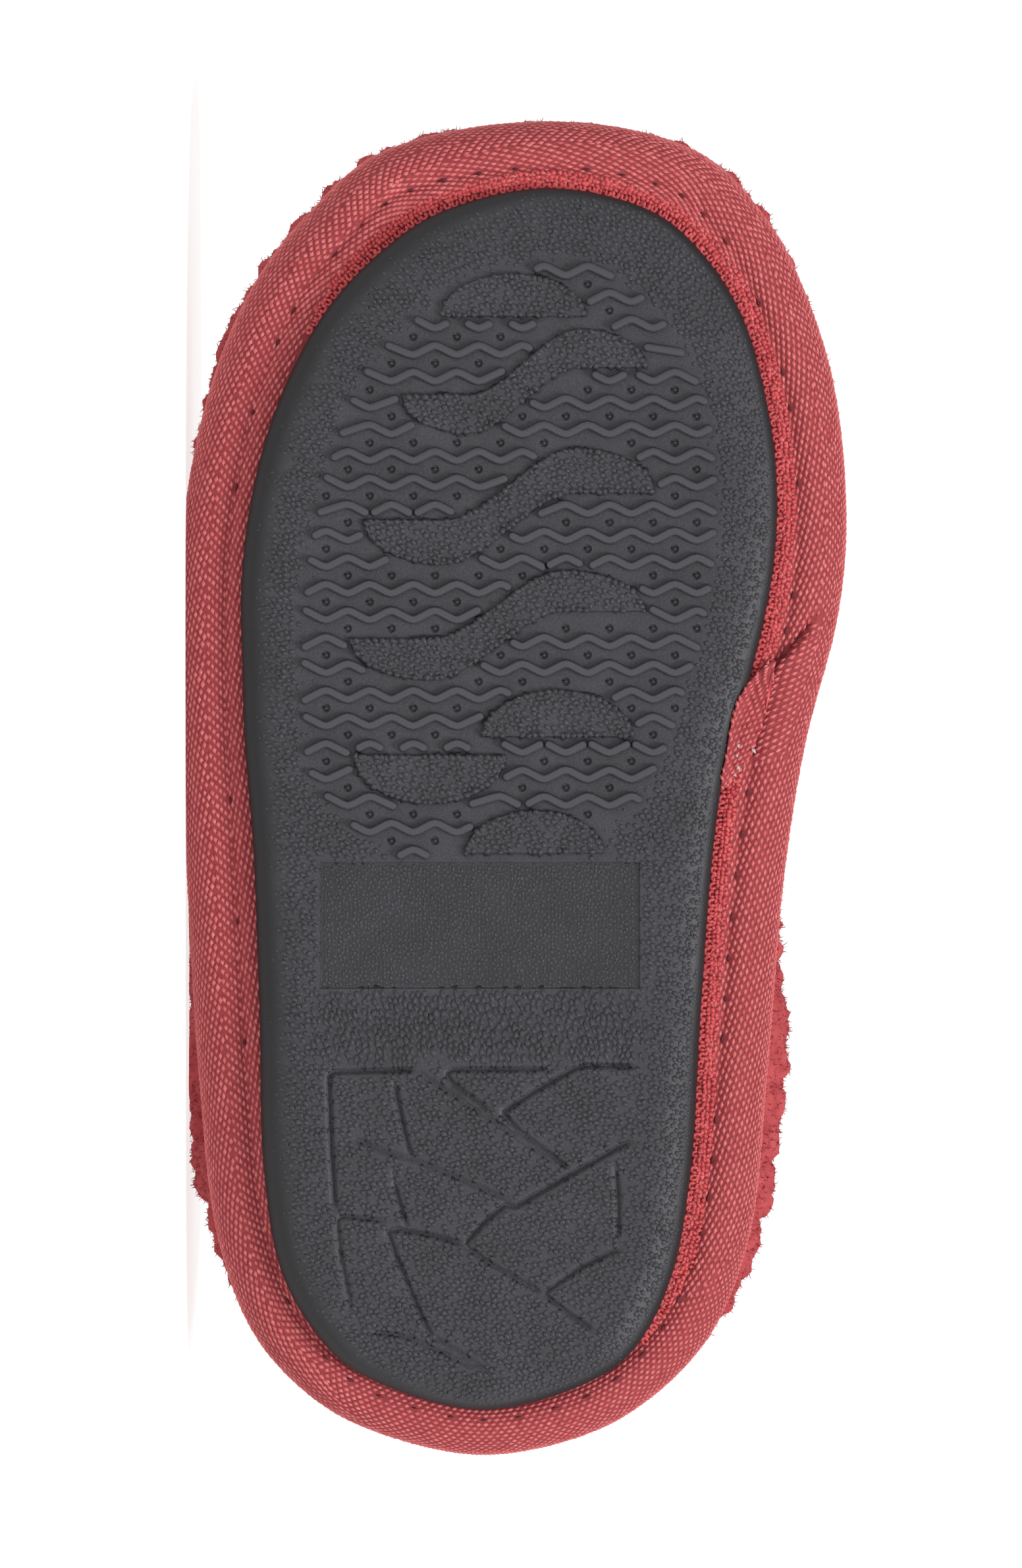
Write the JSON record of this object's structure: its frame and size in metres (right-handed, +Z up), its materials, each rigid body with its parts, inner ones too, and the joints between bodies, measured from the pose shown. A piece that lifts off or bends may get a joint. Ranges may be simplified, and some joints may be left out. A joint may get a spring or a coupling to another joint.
{
  "type": "shearling slipper",
  "caption": "Small child's closed-back shearling slipper for the right foot, with a rolled tape band and a moulded rubber sole, lying on its outer side.",
  "frame": {"origin": "under the middle of the slipper's box, on the floor that its outer side lies on", "axes": "+Z up from the floor, from the outer side of the foot to the inner side; -X towards the toe; -Y out of the tread, +Y out of the collar"},
  "size_m": [0.1656, 0.058, 0.0816],
  "materials": {
    "moulded_rubber": "matt black moulded rubber with a pebble grain",
    "twill_tape": "red herringbone twill tape",
    "lining_fleece": "short red fleece",
    "shearling_fleece": "red curled shearling fleece"
  },
  "bodies": {
    "root": {"outsole": "moulded_rubber", "binding_band": "twill_tape", "insole": "lining_fleece", "upper": "shearling_fleece"}
  },
  "joints": []
}
